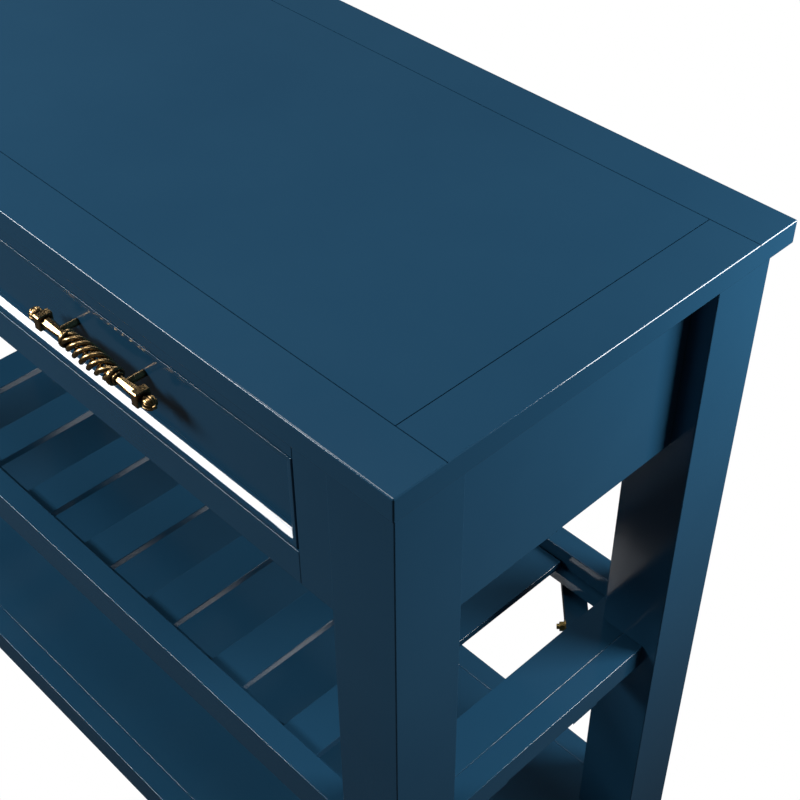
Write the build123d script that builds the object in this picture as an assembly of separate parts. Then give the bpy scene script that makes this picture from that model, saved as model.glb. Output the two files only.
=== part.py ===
from build123d import *
import os
from math import cos, pi, sin

# Kitchen island cart: bordered plank top on four square legs, two inset drawers in a
# face frame, a slatted middle shelf and a solid lower shelf.
# Millimetres, +Z up, +X to the right seen from the front, the front faces -Y.
# Origin on the floor at the middle of the top's outline.

os.makedirs("parts", exist_ok=True)

# ---- overall ----
LENGTH = 1274.0
DEPTH = 457.2
HEIGHT = 914.4
TOP_T = 23.0
BORDER = 50.8
OVERHANG = 11.4
TOP_ARRIS = 1.6
JOINT_GROOVE = 1.0
ARRIS = 0.8

# ---- legs and glides ----
LEG = 70.0
LEG_ARRIS = 1.2
GLIDE_T = 4.0
GLIDE_D = 30.0

# ---- aprons and face frame ----
SIDE_APRON_H = 196.7
APRON_T = 19.0
APRON_SETBACK = 22.9
FRAME_SETBACK = 6.35
FRAME_T = 19.0
STILE = 44.5
MIDDLE_STILE = 31.8
RAIL_TOP_H = 37.5
OPENING_H = 100.6
RAIL_LOW_H = 37.4

# ---- drawers ----
DRAWER_GAP = 1.6
MOULD_W = 13.2
MOULD_H = 8.7
EDGE_SOFT = 1.3
EDGE_CRISP = 0.4
BOX_CLEAR = 2.2
BOX_WALL = 12.0
BOX_H = 80.0
BOX_LENGTH = 350.0
BOTTOM_T = 5.0
BOTTOM_UP = 10.0
GROOVE = 6.0
RUNNER_LEDGE = 22.0
RUNNER_T = 19.0
RUNNER_H = 62.0
DIVIDER_T = 19.0
SLIDE_CLEAR = 0.4

# ---- pull ----
PULL_RISE = 6.5
PULL_STANDOFF = 20.0
POST_SPREAD = 96.0
POST_D = 7.0
CAGE_HALF = 33.0
CAGE_R = 8.4
CAGE_NECK_R = 5.0
STRAND_R = 2.5
STRANDS = 4
CAGE_TURNS = -1.55
COLLAR_D = 18.0
KNOB_R = 6.6
FLUTES = 12
SCREW_D = 4.0
SCREW_GRIP = 8.0

# ---- slatted shelf ----
SHELF_RAIL_T = 25.4
SHELF_RAIL_H = 44.5
SHELF_RAIL_TOP = 429.4
SHELF_BACK_SETBACK = 12.7
SHELF_SIDE_SETBACK = 16.9
SLAT_DROP = 15.0
SLAT_T = 9.0
SLAT_W = 48.5
SLAT_PITCH = 112.25
SLATS = 9
SLAT_END_GAP = 3.0
END_SLAT_W = 45.3
LEDGE = 12.0

# ---- lower shelf ----
BASE_TOP = 85.4
BASE_RAIL_W = 27.0
BASE_RAIL_H = 42.0
BASE_BACK_SETBACK = 3.2
BASE_PANEL_T = 18.0

# ---- corner braces ----
BRACE_W = 25.4
BRACE_T = 12.7
BRACE_OFF = 9.8
BRACE_END = 4.5
BOLT_D = 6.0
BOLT_SHIFT = 18.0
BOLT_GRIP = 30.0
NUT_D = 11.0
NUT_T = 5.0
WASHER_D = 14.0
WASHER_T = 1.2

# ---- planes that several pieces share ----
HX = LENGTH / 2
HY = DEPTH / 2
DECK = HEIGHT - TOP_T
LEG_X1 = HX - OVERHANG
LEG_Y1 = HY - OVERHANG
LEG_X0 = LEG_X1 - LEG
LEG_Y0 = LEG_Y1 - LEG
FACE_Y = -LEG_Y1 + FRAME_SETBACK
FRAME_BACK = FACE_Y + FRAME_T
APRON_LOW = DECK - SIDE_APRON_H
APRON_IN_Y = LEG_Y1 - APRON_SETBACK - APRON_T
APRON_IN_X = LEG_X1 - APRON_SETBACK - APRON_T
OPEN_Z1 = DECK - RAIL_TOP_H
OPEN_Z0 = OPEN_Z1 - OPENING_H
FRAME_LOW = OPEN_Z0 - RAIL_LOW_H
OPEN_X0 = MIDDLE_STILE / 2
OPEN_X1 = LEG_X0 - STILE
OPENING_W = OPEN_X1 - OPEN_X0
OPEN_X = (OPEN_X0 + OPEN_X1) / 2
OPEN_Z = (OPEN_Z0 + OPEN_Z1) / 2
FIELD_Y = FACE_Y + MOULD_H
SHELF_LOW = SHELF_RAIL_TOP - SHELF_RAIL_H
SLAT_TOP = SHELF_RAIL_TOP - SLAT_DROP
SLAT_LOW = SLAT_TOP - SLAT_T
SHELF_FRONT_IN = FACE_Y + SHELF_RAIL_T
SHELF_BACK_OUT = LEG_Y1 - SHELF_BACK_SETBACK
SHELF_BACK_IN = SHELF_BACK_OUT - SHELF_RAIL_T
SHELF_SIDE_OUT = LEG_X1 - SHELF_SIDE_SETBACK
SHELF_SIDE_IN = SHELF_SIDE_OUT - SHELF_RAIL_T


def box(x0, x1, y0, y1, z0, z1):
    """Sharp box between two opposite corners."""
    return Pos((x0 + x1) / 2, (y0 + y1) / 2, (z0 + z1) / 2) * Box(x1 - x0, y1 - y0, z1 - z0)


def board(x0, x1, y0, y1, z0, z1, arris=ARRIS):
    """Planed board whose edges are all eased by the same radius."""
    sharp = box(x0, x1, y0, y1, z0, z1)
    return fillet(sharp.edges(), arris)


def rod(start, axis, diameter, length):
    """Round bar that begins at a point and runs along an axis."""
    return Solid.make_cylinder(diameter / 2, length, Plane(origin=start, z_dir=axis))


def save(name, shape):
    """Write one node, as a single solid or as a group of separate solids."""
    solids = shape.solids()
    node = solids[0] if len(solids) == 1 else Compound(children=list(solids))
    node.label = name
    export_step(node, f"parts/{name}.step")


def save_pair(name, shape):
    """Write the right-hand piece and its mirror image on the left."""
    save(f"{name}_right", shape)
    save(f"{name}_left", mirror(shape, about=Plane.YZ))


# ---- top: two long boards, two end boards between them, and the centre panel ----
def make_top():
    slab = fillet(box(-HX, HX, -HY, HY, DECK, HEIGHT).edges(), TOP_ARRIS)
    end_x = HX - BORDER
    end_y = HY - BORDER
    half = JOINT_GROOVE / 2
    for side in (-1, 1):
        y = side * end_y
        x = side * end_x
        slab -= box(-HX - 1, HX + 1, y - half, y + half, HEIGHT - JOINT_GROOVE, HEIGHT + 1)
        slab -= box(x - half, x + half, -end_y, end_y, HEIGHT - JOINT_GROOVE, HEIGHT + 1)
    save("top_front_board", slab & box(-HX, HX, -HY, -end_y, DECK, HEIGHT))
    save("top_back_board", slab & box(-HX, HX, end_y, HY, DECK, HEIGHT))
    save_pair("top_end_board", slab & box(end_x, HX, -end_y, end_y, DECK, HEIGHT))
    save("top_panel", slab & box(-end_x, end_x, -end_y, end_y, DECK, HEIGHT))


# ---- corner braces: level strips across the corners of the slatted shelf ----
def brace_strip():
    """Back right strip, on the 45 degree line just inside the leg's inner corner."""
    outer = LEG_X0 + LEG_Y0 - BRACE_OFF * 2 ** 0.5
    inner = outer - BRACE_W * 2 ** 0.5
    end_x = SHELF_SIDE_OUT - BRACE_END
    end_y = SHELF_BACK_OUT - BRACE_END
    corners = [(inner - end_y, end_y), (outer - end_y, end_y), (end_x, outer - end_x), (end_x, inner - end_x)]
    outline = make_face(Polyline(*corners, close=True))
    return Pos(0, 0, SHELF_LOW - BRACE_T) * extrude(outline, BRACE_T)


def bolt_line():
    """Point on the back right strip's inner face, and the way the bolt runs into the leg."""
    corner = (LEG_X0 + LEG_Y0) / 2 - (BRACE_OFF + BRACE_W) / 2 ** 0.5
    half_skew = (LEG_X0 - LEG_Y0) / 2 - BOLT_SHIFT / 2 ** 0.5
    start = Vector(corner + half_skew, corner - half_skew, SHELF_LOW - BRACE_T / 2)
    return start, Vector(1, 1, 0).normalized()


def bolt_shank():
    start, way = bolt_line()
    return rod(start - way * (NUT_T + WASHER_T + 3), way, BOLT_D, BRACE_W + BRACE_OFF + BOLT_GRIP + 28)


def nut_and_washer():
    start, way = bolt_line()
    washer = rod(start - way * WASHER_T, way, WASHER_D, WASHER_T)
    seat = Plane(origin=start - way * (WASHER_T + NUT_T), z_dir=way)
    nut = extrude(seat * RegularPolygon(NUT_D / 2, 6), NUT_T)
    shank = bolt_shank()
    return [washer - shank, nut - shank]


def all_corners(shape):
    """The back right piece and its images at the other three corners."""
    front = mirror(shape, about=Plane.XZ)
    return {
        "back_right": shape,
        "back_left": mirror(shape, about=Plane.YZ),
        "front_right": front,
        "front_left": mirror(front, about=Plane.YZ),
    }


def make_legs_and_braces():
    shank = bolt_shank()
    leg = board(LEG_X0, LEG_X1, LEG_Y0, LEG_Y1, GLIDE_T, DECK, LEG_ARRIS) - shank
    for corner, shape in all_corners(leg).items():
        save(f"leg_{corner}", shape)
    for corner, shape in all_corners(brace_strip() - shank).items():
        save(f"shelf_brace_{corner}", shape)
    hardware = [shank] + nut_and_washer()
    copies = [image for piece in hardware for image in all_corners(piece).values()]
    save("brace_bolts", Compound(children=[c.solids()[0] for c in copies]))
    glide = rod((LEG_X1 - LEG / 2, LEG_Y1 - LEG / 2, 0), (0, 0, 1), GLIDE_D, GLIDE_T)
    glide = fillet(glide.edges().sort_by(Axis.Z)[0], 1.2)
    save("leg_glides", Compound(children=[c.solids()[0] for c in all_corners(glide).values()]))


# ---- aprons, face frame, divider and drawer runners ----
def make_frame():
    save_pair("side_apron", board(APRON_IN_X, APRON_IN_X + APRON_T, -LEG_Y0, LEG_Y0, APRON_LOW, DECK))
    save("back_apron", board(-LEG_X0, LEG_X0, APRON_IN_Y, APRON_IN_Y + APRON_T, APRON_LOW, DECK))
    save_pair("face_stile", board(OPEN_X1, LEG_X0, FACE_Y, FRAME_BACK, FRAME_LOW, DECK))
    save("face_middle_stile", board(-OPEN_X0, OPEN_X0, FACE_Y, FRAME_BACK, OPEN_Z0, OPEN_Z1))
    save("face_rail_top", board(-OPEN_X1, OPEN_X1, FACE_Y, FRAME_BACK, OPEN_Z1, DECK))
    save("face_rail_low", board(-OPEN_X1, OPEN_X1, FACE_Y, FRAME_BACK, FRAME_LOW, OPEN_Z0))
    divider_x = DIVIDER_T / 2
    save("divider", box(-divider_x, divider_x, FRAME_BACK, APRON_IN_Y, FRAME_LOW, DECK))
    ledge_low = OPEN_Z0 - RUNNER_T
    outer = box(OPEN_X1, OPEN_X1 + RUNNER_T, FRAME_BACK, APRON_IN_Y, ledge_low, ledge_low + RUNNER_H)
    outer += box(OPEN_X1 - RUNNER_LEDGE, OPEN_X1, FRAME_BACK, APRON_IN_Y, ledge_low, OPEN_Z0)
    save_pair("runner_outer", outer)
    inner = box(divider_x, OPEN_X0, FRAME_BACK, APRON_IN_Y, ledge_low, ledge_low + RUNNER_H)
    inner += box(OPEN_X0, OPEN_X0 + RUNNER_LEDGE, FRAME_BACK, APRON_IN_Y, ledge_low, OPEN_Z0)
    save_pair("runner_inner", inner)


# ---- slatted shelf ----
def make_slatted_shelf():
    ledge_low = SLAT_LOW - LEDGE
    front = board(-LEG_X0, LEG_X0, FACE_Y, SHELF_FRONT_IN, SHELF_LOW, SHELF_RAIL_TOP, 1.0)
    front += box(-LEG_X0, LEG_X0, SHELF_FRONT_IN - 2, SHELF_FRONT_IN + LEDGE, ledge_low, SLAT_LOW)
    save("shelf_rail_front", front)
    back = board(-LEG_X0, LEG_X0, SHELF_BACK_IN, SHELF_BACK_OUT, SHELF_LOW, SHELF_RAIL_TOP, 1.0)
    back += box(-LEG_X0, LEG_X0, SHELF_BACK_IN - LEDGE, SHELF_BACK_IN + 2, ledge_low, SLAT_LOW)
    save("shelf_rail_back", back)
    save_pair("shelf_rail_side", board(SHELF_SIDE_IN, SHELF_SIDE_OUT, -LEG_Y0, LEG_Y0, SHELF_LOW, SLAT_TOP))

    y0 = SHELF_FRONT_IN + SLAT_END_GAP
    y1 = SHELF_BACK_IN - SLAT_END_GAP
    end = board(SHELF_SIDE_IN - END_SLAT_W, SHELF_SIDE_IN, y0, y1, SLAT_LOW, SLAT_TOP, 0.6)
    notch = box(LEG_X0, LEG_X1, LEG_Y0, LEG_Y1, SLAT_LOW - 1, SLAT_TOP + 1)
    end -= [notch, mirror(notch, about=Plane.XZ)]
    save_pair("shelf_end_slat", end)
    for index in range(SLATS):
        x = (index - (SLATS - 1) / 2) * SLAT_PITCH
        slat = board(x - SLAT_W / 2, x + SLAT_W / 2, y0, y1, SLAT_LOW, SLAT_TOP, 1.0)
        save(f"shelf_slat_{index + 1}", slat)


# ---- solid lower shelf ----
def make_lower_shelf():
    low = BASE_TOP - BASE_RAIL_H
    back = LEG_Y1 - BASE_BACK_SETBACK
    save("base_rail_front", board(-LEG_X0, LEG_X0, FACE_Y, FACE_Y + BASE_RAIL_W, low, BASE_TOP, 1.0))
    save("base_rail_back", board(-LEG_X0, LEG_X0, back - BASE_RAIL_W, back, low, BASE_TOP, 1.0))
    y0 = FACE_Y + BASE_RAIL_W
    y1 = back - BASE_RAIL_W
    panel = board(-SHELF_SIDE_OUT, SHELF_SIDE_OUT, y0, y1, BASE_TOP - BASE_PANEL_T, BASE_TOP)
    notch = box(LEG_X0, LEG_X1, LEG_Y0, LEG_Y1, 0, BASE_TOP + 1)
    panel -= list(all_corners(notch).values())
    save("base_panel", panel)


# ---- drawers ----
def moulding_section(soft):
    """Moulding section in the YZ plane: outer edge at y = 0, field at z = 0."""
    crest = MOULD_H - 0.2
    edge = Line((0, 0), (0, MOULD_H - soft))
    nose = RadiusArc((0, MOULD_H - soft), (soft, MOULD_H), soft)
    face = Line((soft, MOULD_H), (4.2, crest))
    round_over = Bezier((4.2, crest), (5.8, crest - 0.1), (7.2, MOULD_H - 2.4))
    slope = Line((7.2, MOULD_H - 2.4), (9.6, MOULD_H - 5.3))
    cove = Bezier((9.6, MOULD_H - 5.3), (11.1, 1.25), (12.6, 1.1))
    quirk = Polyline((12.6, 1.1), (MOULD_W, 1.1), (MOULD_W, 0), (0, 0))
    return Plane.YZ * make_face([edge, nose, face, round_over, slope, cove, quirk])


def moulding_strip(length, soft):
    """Moulding along X with its outer edge on y = 0 and both ends mitred."""
    bar = extrude(moulding_section(soft), length / 2, both=True)
    half = length / 2
    inset = half - MOULD_W
    outline = Polyline((-half, 0), (half, 0), (inset, MOULD_W), (-inset, MOULD_W), close=True)
    return bar & Pos(0, 0, -1) * extrude(make_face(outline), MOULD_H + 2)


def drawer_front(width, height):
    """Right-hand drawer front, centred in its opening."""
    back = FRAME_T - MOULD_H
    front = Pos(0, 0, -back / 2) * Box(width, height, back)
    front += Pos(0, -height / 2, 0) * moulding_strip(width, EDGE_SOFT)
    front += Rot(0, 0, 180) * Pos(0, -height / 2, 0) * moulding_strip(width, EDGE_CRISP)
    for angle in (90, 270):
        front += Rot(0, 0, angle) * Pos(0, -width / 2, 0) * moulding_strip(height, EDGE_SOFT)
    return Pos(OPEN_X, FIELD_Y, OPEN_Z) * Rot(90, 0, 0) * front


def make_drawers():
    x0 = OPEN_X0 + BOX_CLEAR
    x1 = OPEN_X1 - BOX_CLEAR
    y0 = FRAME_BACK
    y1 = FRAME_BACK + BOX_LENGTH
    z0 = OPEN_Z0 + SLIDE_CLEAR
    z1 = z0 + BOX_H
    panel_low = z0 + BOTTOM_UP
    panel = box(x0 + BOX_WALL - GROOVE, x1 - BOX_WALL + GROOVE, y0, y1, panel_low, panel_low + BOTTOM_T)
    outer_side = board(x1 - BOX_WALL, x1, y0, y1, z0, z1) - panel
    inner_side = board(x0, x0 + BOX_WALL, y0, y1, z0, z1) - panel
    rear = board(x0 + BOX_WALL, x1 - BOX_WALL, y1 - BOX_WALL, y1, panel_low + BOTTOM_T, z1 - 4)
    front = drawer_front(OPENING_W - 2 * DRAWER_GAP, OPENING_H - 2 * DRAWER_GAP)
    screws = []
    pull = Pos(OPEN_X, FIELD_Y - PULL_STANDOFF, OPEN_Z + PULL_RISE) * make_pull()
    for side in (-1, 1):
        seat = (OPEN_X + side * POST_SPREAD / 2, FRAME_BACK, OPEN_Z + PULL_RISE)
        shaft = rod(seat, (0, -1, 0), SCREW_D, FRAME_T - MOULD_H + SCREW_GRIP)
        head = fillet(rod(seat, (0, 1, 0), 8.0, 2.6).edges().sort_by(Axis.Y)[-1], 1.2)
        front -= shaft
        pull -= shaft
        screws.append((shaft + head).solids()[0])
    save_pair("drawer_front", front)
    save_pair("drawer_side_outer", outer_side)
    save_pair("drawer_side_inner", inner_side)
    save_pair("drawer_rear", rear)
    save_pair("drawer_bottom", panel)
    save_pair("pull", pull)
    save_pair("pull_screws", Compound(children=screws))


# ---- pull: twisted cage between turned ends, on two posts ----
def strand(phase):
    """One rod of the cage, wound about X and bulging at mid length."""
    steps = 10
    points = []
    for index in range(steps + 1):
        t = index / steps
        x = (2 * t - 1) * CAGE_HALF
        radius = CAGE_NECK_R + (CAGE_R - CAGE_NECK_R) * sin(pi * t) ** 0.7
        angle = phase + 2 * pi * CAGE_TURNS * t
        points.append((x, radius * cos(angle), radius * sin(angle)))
    path = Spline(*points)
    return sweep(Plane(origin=path @ 0, z_dir=path % 0) * Circle(STRAND_R), path=path)


def turned_end():
    """Collar, faceted sleeve, square block and fluted knob, outwards along +X."""
    along = (1, 0, 0)
    collar = fillet(rod((CAGE_HALF - 1.5, 0, 0), along, COLLAR_D, 5.5).edges(), 2.2)
    ring_x = CAGE_HALF + 3.5
    ring = fillet(rod((ring_x, 0, 0), along, 12.0, 3.5).edges(), 1.2)
    sleeve_x = ring_x + 3.0
    block_x = sleeve_x + 26.5
    slim = Plane(origin=(sleeve_x, 0, 0), z_dir=along) * Rot(0, 0, 22.5) * RegularPolygon(4.0, 8)
    wide = Plane(origin=(block_x, 0, 0), z_dir=along) * Rot(0, 0, 22.5) * RegularPolygon(5.8, 8)
    sleeve = loft([slim, wide])
    block = chamfer((Pos(block_x + 4.0, 0, 0) * Box(9, 15, 15)).edges(), 0.9)
    neck = rod((block_x + 8.0, 0, 0), along, 8.0, 4.0)
    centre = block_x + 9.5 + KNOB_R
    knob = Pos(centre, 0, 0) * Sphere(KNOB_R)
    for index in range(FLUTES // 2):
        knob -= Pos(centre, 0, 0) * Rot(180 * index / (FLUTES // 2), 0, 0) * Torus(KNOB_R + 0.35, 1.15)
    tip = fillet(rod((centre + KNOB_R - 2, 0, 0), along, 4.0, 3.6).edges().sort_by(Axis.X)[-1], 1.2)
    return collar + ring + sleeve + block + neck + knob + tip


def make_pull():
    """Pull with its long axis on X through the origin; the posts run back along +Y."""
    body = turned_end()
    body += mirror(body, about=Plane.YZ)
    for index in range(STRANDS):
        body += strand(2 * pi * index / STRANDS)
    for side in (-1, 1):
        x = side * POST_SPREAD / 2
        body += rod((x, 0, 0), (0, 1, 0), POST_D, PULL_STANDOFF)
    return body


make_top()
make_legs_and_braces()
make_frame()
make_slatted_shelf()
make_lower_shelf()
make_drawers()
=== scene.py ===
from math import radians

import bpy
from mathutils import Matrix, Vector


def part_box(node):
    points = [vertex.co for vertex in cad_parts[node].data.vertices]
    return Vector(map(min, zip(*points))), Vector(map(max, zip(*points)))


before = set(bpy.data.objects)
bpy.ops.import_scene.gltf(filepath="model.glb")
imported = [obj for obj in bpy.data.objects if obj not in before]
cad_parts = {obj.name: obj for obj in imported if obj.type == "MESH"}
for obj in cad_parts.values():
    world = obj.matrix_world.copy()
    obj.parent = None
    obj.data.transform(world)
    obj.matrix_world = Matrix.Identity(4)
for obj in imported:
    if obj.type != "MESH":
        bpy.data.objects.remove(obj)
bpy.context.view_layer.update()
scene = bpy.context.scene

# ---- camera: metres and degrees ----
CAMERA_PLACE = (1.1189, -0.6847, 1.5879)
CAMERA_AZIMUTH = 46.155
CAMERA_TILT = 41.47
CAMERA_ROLL = -0.392
CAMERA_LENS_MM = 65.33
SENSOR_WIDTH_MM = 36.0
CLIP_START = 0.05

# ---- colours: linear RGB ----
PAINT = ((0.0110, 0.0530, 0.1050), (0.0135, 0.0600, 0.1150))
POPLAR_LIGHT = (0.50, 0.34, 0.19)
POPLAR_DARK = (0.38, 0.24, 0.12)
BIRCH_LIGHT = (0.56, 0.41, 0.24)
BIRCH_DARK = (0.46, 0.32, 0.17)
BRASS_HOLLOW = (0.016, 0.009, 0.004)
BRASS_WORN = (0.50, 0.325, 0.145)
YELLOW_ZINC = (0.72, 0.50, 0.18)
BRIGHT_ZINC = (0.60, 0.60, 0.62)
PLASTIC = ((0.010, 0.010, 0.011), (0.018, 0.018, 0.019))
FLOOR = ((0.018, 0.020, 0.021), (0.021, 0.023, 0.024))
WHITE = (1, 1, 1, 1)
SKY = (0.80, 0.92, 1.0, 1)
SKY_STRENGTH = 0.07
FLOOR_SIZE = 40

# Noise stretched along the named axis, for wood grain that runs that way.
GRAIN = {"x": (0.06, 1, 1), "y": (1, 0.06, 1), "z": (1, 1, 0.06)}


def make_camera():
    """Camera right of the front and above it, looking down along the length."""
    data = bpy.data.cameras.new("camera")
    data.sensor_width = SENSOR_WIDTH_MM
    data.lens = CAMERA_LENS_MM
    data.clip_start = CLIP_START
    camera = bpy.data.objects.new("camera", data)
    scene.collection.objects.link(camera)
    heading = Matrix.Rotation(radians(CAMERA_AZIMUTH), 4, "Z")
    pitch = Matrix.Rotation(radians(90) - radians(CAMERA_TILT), 4, "X")
    roll = Matrix.Rotation(radians(CAMERA_ROLL), 4, "Z")
    camera.matrix_world = Matrix.Translation(CAMERA_PLACE) @ (heading @ pitch @ roll)
    scene.camera = camera


class Nodes:
    """Short way to add and join the nodes of one material."""

    def __init__(self, name):
        self.material = bpy.data.materials.new(name)
        self.material.use_nodes = True
        self.tree = self.material.node_tree
        self.tree.nodes.clear()
        self.shader = self.add("ShaderNodeBsdfPrincipled")
        self.output = self.add("ShaderNodeOutputMaterial")
        self.link(self.shader, "BSDF", self.output, "Surface")
        self.position = self.add("ShaderNodeTexCoord")

    def add(self, kind):
        return self.tree.nodes.new(kind)

    def link(self, source, out, target, into):
        self.tree.links.new(source.outputs[out], target.inputs[into])

    def noise(self, scale, detail=3.0, roughness=0.5, stretch=(1, 1, 1), offset=(0, 0, 0)):
        """Noise in object coordinates, stretched along the axes and shifted."""
        mapping = self.add("ShaderNodeMapping")
        mapping.inputs["Scale"].default_value = stretch
        mapping.inputs["Location"].default_value = offset
        self.link(self.position, "Object", mapping, "Vector")
        node = self.add("ShaderNodeTexNoise")
        node.inputs["Scale"].default_value = scale
        node.inputs["Detail"].default_value = detail
        node.inputs["Roughness"].default_value = roughness
        self.link(mapping, "Vector", node, "Vector")
        return node

    def tint(self, source, out, stops):
        """Base colour from a ramp of (place, colour) stops."""
        node = self.add("ShaderNodeValToRGB")
        elements = node.color_ramp.elements
        while len(elements) < len(stops):
            elements.new(0.5)
        for element, (place, colour) in zip(elements, stops):
            element.position = place
            element.color = (*colour, 1)
        self.link(source, out, node, "Fac")
        self.link(node, "Color", self.shader, "Base Color")

    def roughness(self, source, low, high):
        """Shader roughness spread between two values by a noise."""
        node = self.add("ShaderNodeMapRange")
        node.inputs["To Min"].default_value = low
        node.inputs["To Max"].default_value = high
        self.link(source, "Fac", node, "Value")
        self.link(node, "Result", self.shader, "Roughness")

    def bump(self, *layers):
        """Surface relief built up from (noise, distance, strength) layers."""
        under = None
        for source, distance, strength in layers:
            node = self.add("ShaderNodeBump")
            node.inputs["Distance"].default_value = distance
            node.inputs["Strength"].default_value = strength
            self.link(source, "Fac", node, "Height")
            if under:
                self.link(under, "Normal", node, "Normal")
            under = node
        self.link(under, "Normal", self.shader, "Normal")


# ---- materials ----
def paint(axis):
    """Dark teal lacquer over wood whose grain runs along one axis."""
    m = Nodes(f"paint_{axis}")
    m.tint(m.noise(5.0, 4.0, 0.55), "Fac", [(0.25, PAINT[0]), (0.75, PAINT[1])])
    m.roughness(m.noise(22.0, 5.0, 0.6, offset=(3, 1, 2)), 0.10, 0.17)
    m.shader.inputs["IOR"].default_value = 1.5
    wave = m.noise(30.0, 2.0, 0.5, GRAIN[axis], (1, 4, 2))
    grain = m.noise(260.0, 4.0, 0.6, GRAIN[axis])
    peel = m.noise(900.0, 2.0, 0.5)
    m.bump((wave, 0.0003, 0.25), (grain, 0.00006, 0.35), (peel, 0.00002, 0.5))
    return m.material


def bare_wood(name, axis, light, dark):
    """Sanded unfinished timber with long growth lines and fine pores."""
    m = Nodes(name)
    late = tuple(0.9 * channel for channel in light)
    m.tint(m.noise(34.0, 5.0, 0.6, GRAIN[axis]), "Fac", [(0.3, dark), (0.55, light), (0.72, late)])
    pores = m.noise(420.0, 3.0, 0.6, GRAIN[axis])
    m.roughness(pores, 0.55, 0.75)
    m.bump((pores, 0.00015, 0.6))
    return m.material


def antique_brass():
    """Brass polished on its high places and nearly black in its hollows."""
    m = Nodes("antique_brass_worn")
    m.shader.inputs["Metallic"].default_value = 1.0
    hollow = m.add("ShaderNodeAmbientOcclusion")
    hollow.inputs["Distance"].default_value = 0.005
    m.tint(hollow, "AO", [(0.52, BRASS_HOLLOW), (0.97, BRASS_WORN)])
    spots = m.noise(300.0, 4.0, 0.6)
    m.roughness(spots, 0.20, 0.33)
    m.bump((spots, 0.0001, 0.3))
    return m.material


def plated(name, colour):
    """Plated steel with a faint drawn haze."""
    m = Nodes(name)
    m.shader.inputs["Metallic"].default_value = 1.0
    haze = m.noise(500.0, 3.0, 0.6)
    dull = tuple(0.8 * channel for channel in colour)
    m.tint(haze, "Fac", [(0.3, dull), (0.7, colour)])
    m.roughness(haze, 0.24, 0.39)
    return m.material


def glide_plastic():
    """Black moulded plastic."""
    m = Nodes("glide_plastic_moulded")
    speck = m.noise(700.0, 3.0, 0.6)
    m.tint(speck, "Fac", [(0.3, PLASTIC[0]), (0.7, PLASTIC[1])])
    m.roughness(speck, 0.45, 0.6)
    m.bump((speck, 0.00005, 0.4))
    return m.material


def grain_axis(name):
    """The axis of the node's longest side."""
    low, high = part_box(name)
    sides = [high[i] - low[i] for i in range(3)]
    return "xyz"[sides.index(max(sides))]


def dress():
    """Give every CAD node its material, by name."""
    paints = {axis: paint(axis) for axis in "xyz"}
    poplar = {axis: bare_wood(f"poplar_{axis}", axis, POPLAR_LIGHT, POPLAR_DARK) for axis in "xyz"}
    # The first prefix that matches a node's name decides, so pull_screws comes before pull.
    special = (
        ("pull_screws", plated("bright_zinc_plate", BRIGHT_ZINC)),
        ("pull", antique_brass()),
        ("brace_bolts", plated("yellow_zinc_plate", YELLOW_ZINC)),
        ("leg_glides", glide_plastic()),
        ("drawer_bottom", bare_wood("birch_ply", "x", BIRCH_LIGHT, BIRCH_DARK)),
    )
    for name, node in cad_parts.items():
        axis = grain_axis(name)
        plain = poplar if name.startswith(("drawer_side", "drawer_rear", "runner", "divider")) else paints
        material = next((m for prefix, m in special if name.startswith(prefix)), plain[axis])
        for slot in node.material_slots:
            slot.material = material


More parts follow.
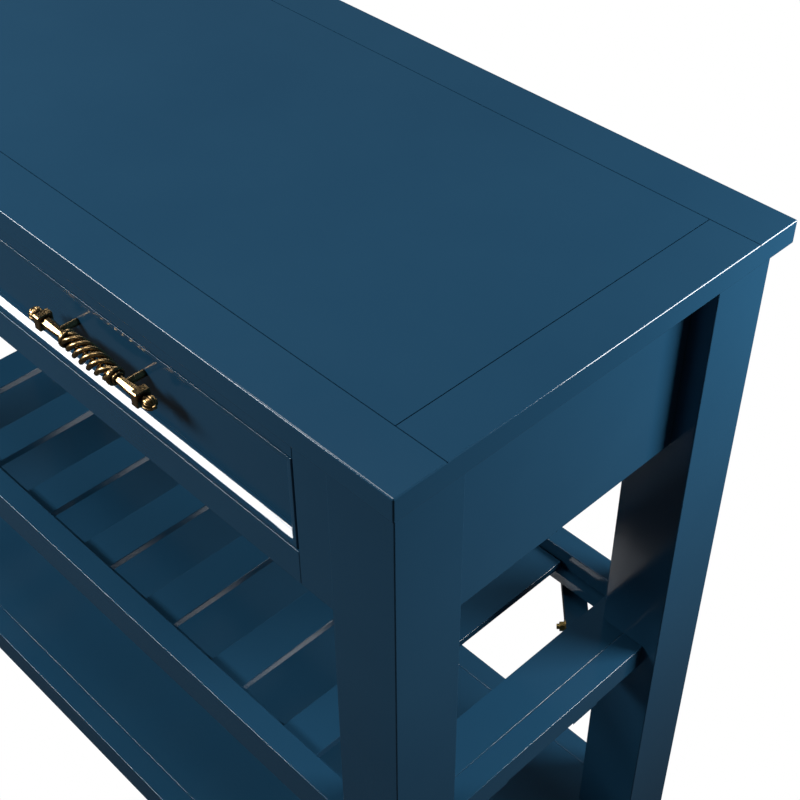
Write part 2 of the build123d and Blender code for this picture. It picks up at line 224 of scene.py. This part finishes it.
# ---- floor and light ----
def make_floor():
    """Floor that is white to the camera and dark in the paint's reflections."""
    bpy.ops.mesh.primitive_plane_add(size=FLOOR_SIZE, location=(0, 0, 0))
    floor = bpy.context.object
    floor.name = "floor"
    m = Nodes("floor_pale")
    m.tint(m.noise(3.0), "Fac", [(0.3, FLOOR[0]), (0.7, FLOOR[1])])
    m.shader.inputs["Roughness"].default_value = 0.9
    pale = m.add("ShaderNodeEmission")
    pale.inputs["Color"].default_value = WHITE
    seen = m.add("ShaderNodeLightPath")
    mix = m.add("ShaderNodeMixShader")
    m.link(seen, "Is Camera Ray", mix, "Fac")
    m.link(m.shader, "BSDF", mix, 1)
    m.link(pale, "Emission", mix, 2)
    m.link(mix, "Shader", m.output, "Surface")
    floor.data.materials.append(m.material)


def make_world():
    """World that is white to the camera and a dim cool fill for everything else."""
    world = bpy.data.worlds.new("studio")
    world.use_nodes = True
    tree = world.node_tree
    dim = tree.nodes["Background"]
    dim.inputs["Color"].default_value = SKY
    dim.inputs["Strength"].default_value = SKY_STRENGTH
    bright = tree.nodes.new("ShaderNodeBackground")
    bright.inputs["Color"].default_value = WHITE
    seen = tree.nodes.new("ShaderNodeLightPath")
    mix = tree.nodes.new("ShaderNodeMixShader")
    tree.links.new(seen.outputs["Is Camera Ray"], mix.inputs["Fac"])
    tree.links.new(dim.outputs["Background"], mix.inputs[1])
    tree.links.new(bright.outputs["Background"], mix.inputs[2])
    tree.links.new(mix.outputs["Shader"], tree.nodes["World Output"].inputs["Surface"])
    scene.world = world


def softbox(name, place, aim, size, power, along=None):
    """Rectangular lamp whose width runs level, or along the given direction."""
    back = (Vector(place) - Vector(aim)).normalized()
    side = Vector(along) if along else Vector((0, 0, 1)).cross(back)
    side = (side - side.dot(back) * back).normalized()
    turn = Matrix((side, back.cross(side), back)).transposed().to_4x4()
    light = bpy.data.lights.new(name, "AREA")
    light.shape = "RECTANGLE"
    light.size, light.size_y = size
    light.energy = power
    lamp = bpy.data.objects.new(name, light)
    lamp.matrix_world = Matrix.Translation(place) @ turn
    lamp.visible_camera = False
    scene.collection.objects.link(lamp)


def make_light():
    """Key at the front left, tilted to fill the drawer moulding, with fills above and right."""
    make_world()
    softbox("key", (-1.0, -1.35, 1.665), (0.3, -0.24, 0.78), (1.15, 0.42), 40, (0.781, -0.352, 0.281))
    softbox("overhead", (-0.55, 0.0, 3.3), (-0.2, 0.05, 0.9), (1.8, 1.5), 45)
    softbox("right", (1.14, 0.60, 1.06), (0.62, 0.15, 0.72), (0.4, 0.4), 14.5)
    scene.view_settings.view_transform = "Standard"


make_camera()
dress()
make_floor()
make_light()
